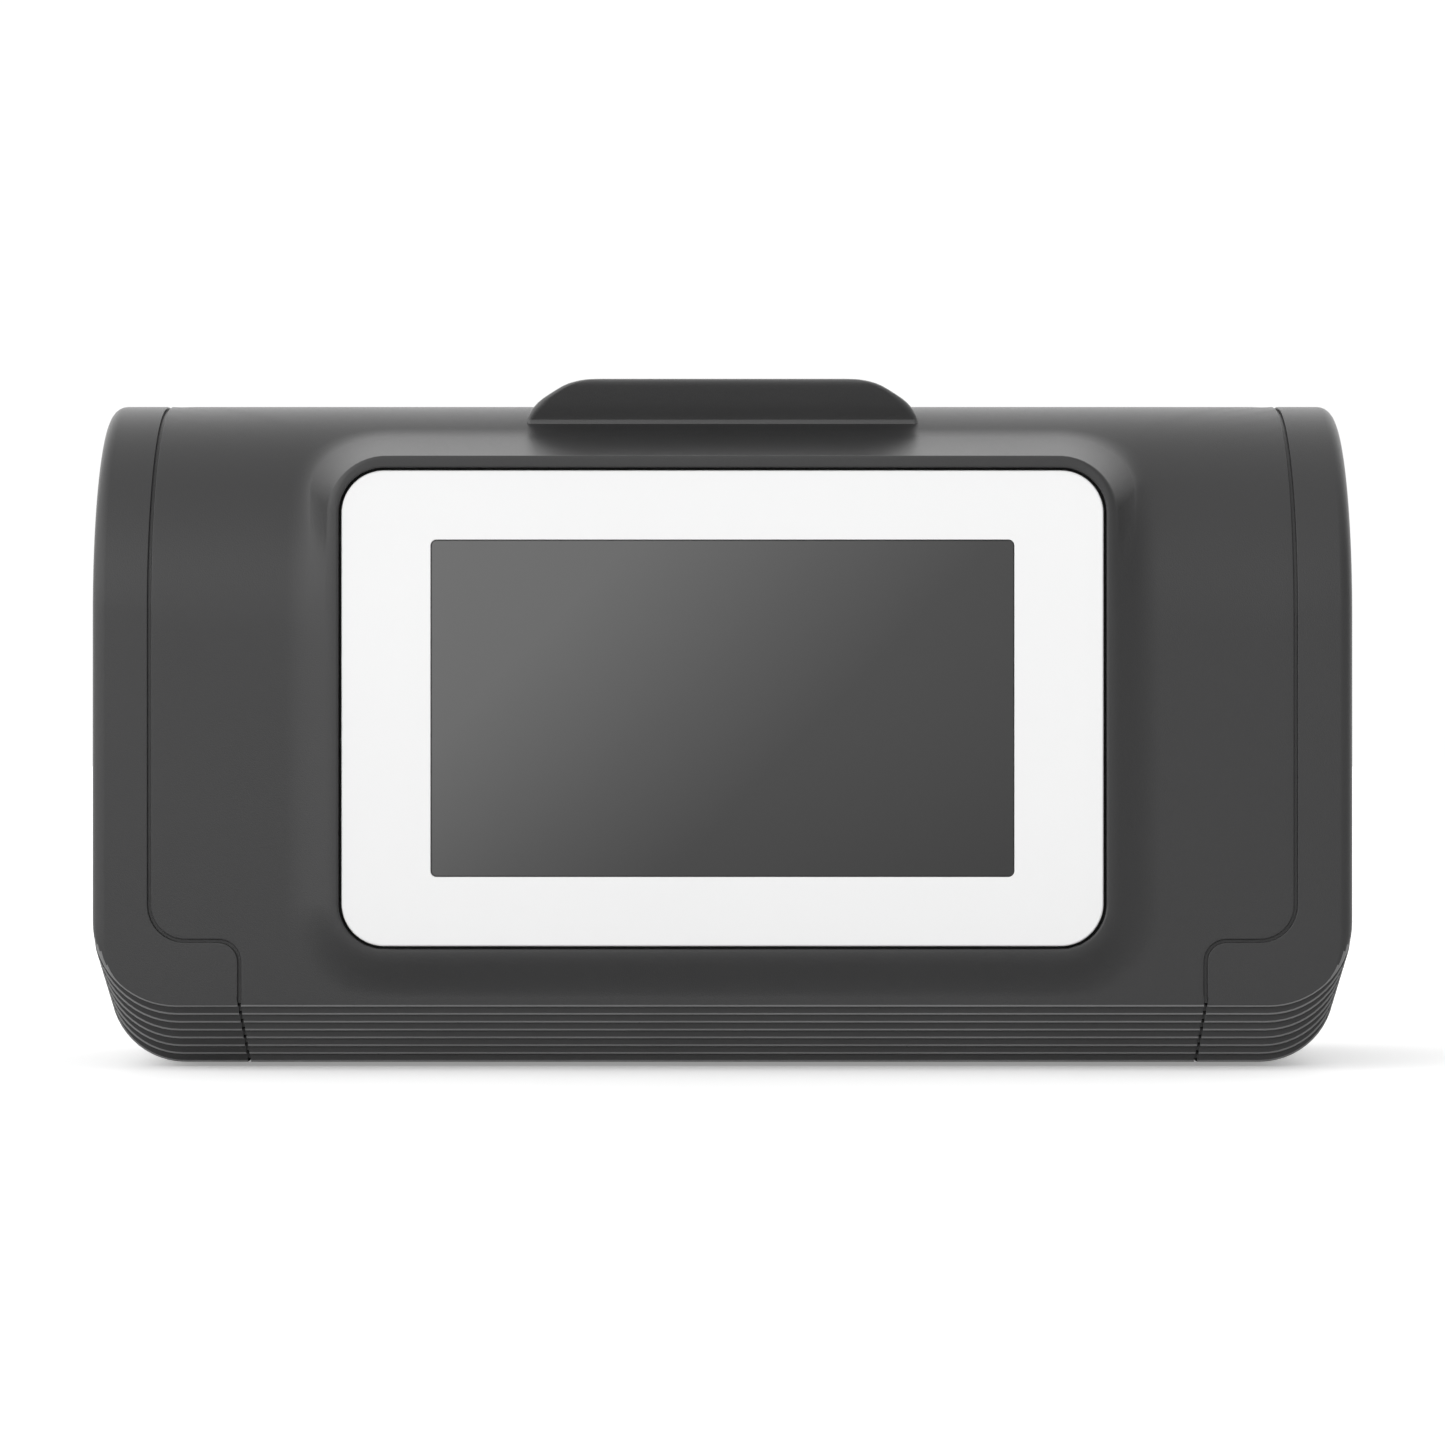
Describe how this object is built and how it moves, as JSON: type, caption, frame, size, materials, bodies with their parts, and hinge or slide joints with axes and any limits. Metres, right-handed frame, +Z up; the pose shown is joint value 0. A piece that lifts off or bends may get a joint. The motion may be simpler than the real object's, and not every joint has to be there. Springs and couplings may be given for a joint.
{
  "type": "golf launch monitor",
  "caption": "Floor-standing photometric golf launch monitor: charcoal loaf-shaped body with a framed touch display, stepped foot, end caps, top grip and infrared window.",
  "frame": {"origin": "middle of the footprint, on the floor under the feet", "axes": "+Z up; +X to the right as seen from the display side; the display faces -Y and the infrared window +Y"},
  "size_m": [0.312, 0.12, 0.1727],
  "materials": {
    "shell_charcoal": "fine moulded texture",
    "cap_charcoal": "fine moulded texture",
    "base_black": "moulded texture",
    "grip_charcoal": "soft-touch",
    "gasket_black": "matte",
    "bezel_white": "satin gloss",
    "screen_glass": "anti-glare coated glass",
    "panel_dark": "matte",
    "sheet_steel": "zinc plated",
    "screw_steel": "zinc plated",
    "board_green": "solder mask",
    "flex_amber": "film",
    "window_dark": "infrared-pass, polished",
    "bench_aluminium": "milled",
    "camera_black": "black anodised",
    "lens_glass": "coated",
    "emitter_clear": "clear resin",
    "brass": "turned",
    "chip_black": "moulded epoxy",
    "battery_blue": "shrink sleeve",
    "socket_steel": "tinned",
    "button_black": "satin",
    "ring_clear": "frosted light guide",
    "foot_rubber": "matte",
    "foot_steel": "turned, knurled"
  },
  "bodies": {
    "housing": {"rear_shell": "shell_charcoal", "front_shell": "shell_charcoal", "left_end_cap": "cap_charcoal", "right_end_cap": "cap_charcoal", "base_plate": "base_black", "carry_grip": "grip_charcoal", "display_gasket": "gasket_black", "display_bezel": "bezel_white", "screen_glass": "screen_glass", "display_panel": "panel_dark", "display_backplate": "sheet_steel", "display_screws": "screw_steel", "display_board": "board_green", "display_flex": "flex_amber", "window_gasket": "gasket_black", "front_window": "window_dark", "optical_bench": "bench_aluminium", "bench_screws": "screw_steel", "left_camera_housing": "camera_black", "right_camera_housing": "camera_black", "left_sensor_board": "board_green", "right_sensor_board": "board_green", "left_lens_barrel": "camera_black", "right_lens_barrel": "camera_black", "left_lens_glass": "lens_glass", "right_lens_glass": "lens_glass", "infrared_board": "board_green", "infrared_emitters": "emitter_clear", "tilt_sensor_board": "board_green", "board_standoffs": "brass", "main_board": "board_green", "board_components": "chip_black", "heat_sink": "bench_aluminium", "board_screws": "screw_steel", "battery_pack": "battery_blue", "battery_bracket": "sheet_steel", "bracket_screws": "screw_steel", "antennas": "flex_amber", "io_board": "board_green", "io_screws": "screw_steel", "usb_sockets": "socket_steel", "ethernet_socket": "socket_steel", "port_cover_pin": "screw_steel", "button_light_ring": "ring_clear", "button_board": "board_green", "button_switch": "chip_black", "tripod_insert": "brass", "foot_inserts": "brass", "rear_feet": "foot_rubber", "base_screws": "screw_steel", "grip_screws": "screw_steel", "cap_screws": "screw_steel"},
    "cover": {"port_cover": "cap_charcoal", "port_seal": "gasket_black"},
    "button": {"power_button": "button_black"},
    "left_pad": {"left_foot_pad": "foot_rubber"},
    "right_pad": {"right_foot_pad": "foot_rubber"},
    "left_stud": {"left_foot_screw": "foot_steel"},
    "right_stud": {"right_foot_screw": "foot_steel"}
  },
  "joints": [
    {"name": "cover_hinge", "type": "hinge", "parent": "housing", "child": "cover", "pos_m": [-0.1541, 0, 0.0403], "axis": [0, -1, 0], "range_deg": [0, 95]},
    {"name": "button_press", "type": "slide", "parent": "housing", "child": "button", "axis": [-1, 0, 0], "range_m": [0, 0.001], "stiffness_N_per_m": 600},
    {"name": "left_foot_raise", "type": "slide", "parent": "housing", "child": "left_pad", "axis": [0, 0, -1], "range_m": [0, 0.005]},
    {"name": "right_foot_raise", "type": "slide", "parent": "housing", "child": "right_pad", "axis": [0, 0, -1], "range_m": [0, 0.005]},
    {"name": "left_foot_turn", "type": "hinge", "parent": "left_pad", "child": "left_stud", "pos_m": [-0.084, 0.013, 0.01], "axis": [0, 0, 1], "range_deg": [0, 1440]},
    {"name": "right_foot_turn", "type": "hinge", "parent": "right_pad", "child": "right_stud", "pos_m": [0.084, 0.013, 0.01], "axis": [0, 0, 1], "range_deg": [0, 1440]}
  ],
  "couplings": [
    {"joint": "left_foot_turn", "follows": "left_foot_raise", "rad_per_m": 5026.5},
    {"joint": "right_foot_turn", "follows": "right_foot_raise", "rad_per_m": 5026.5}
  ]
}
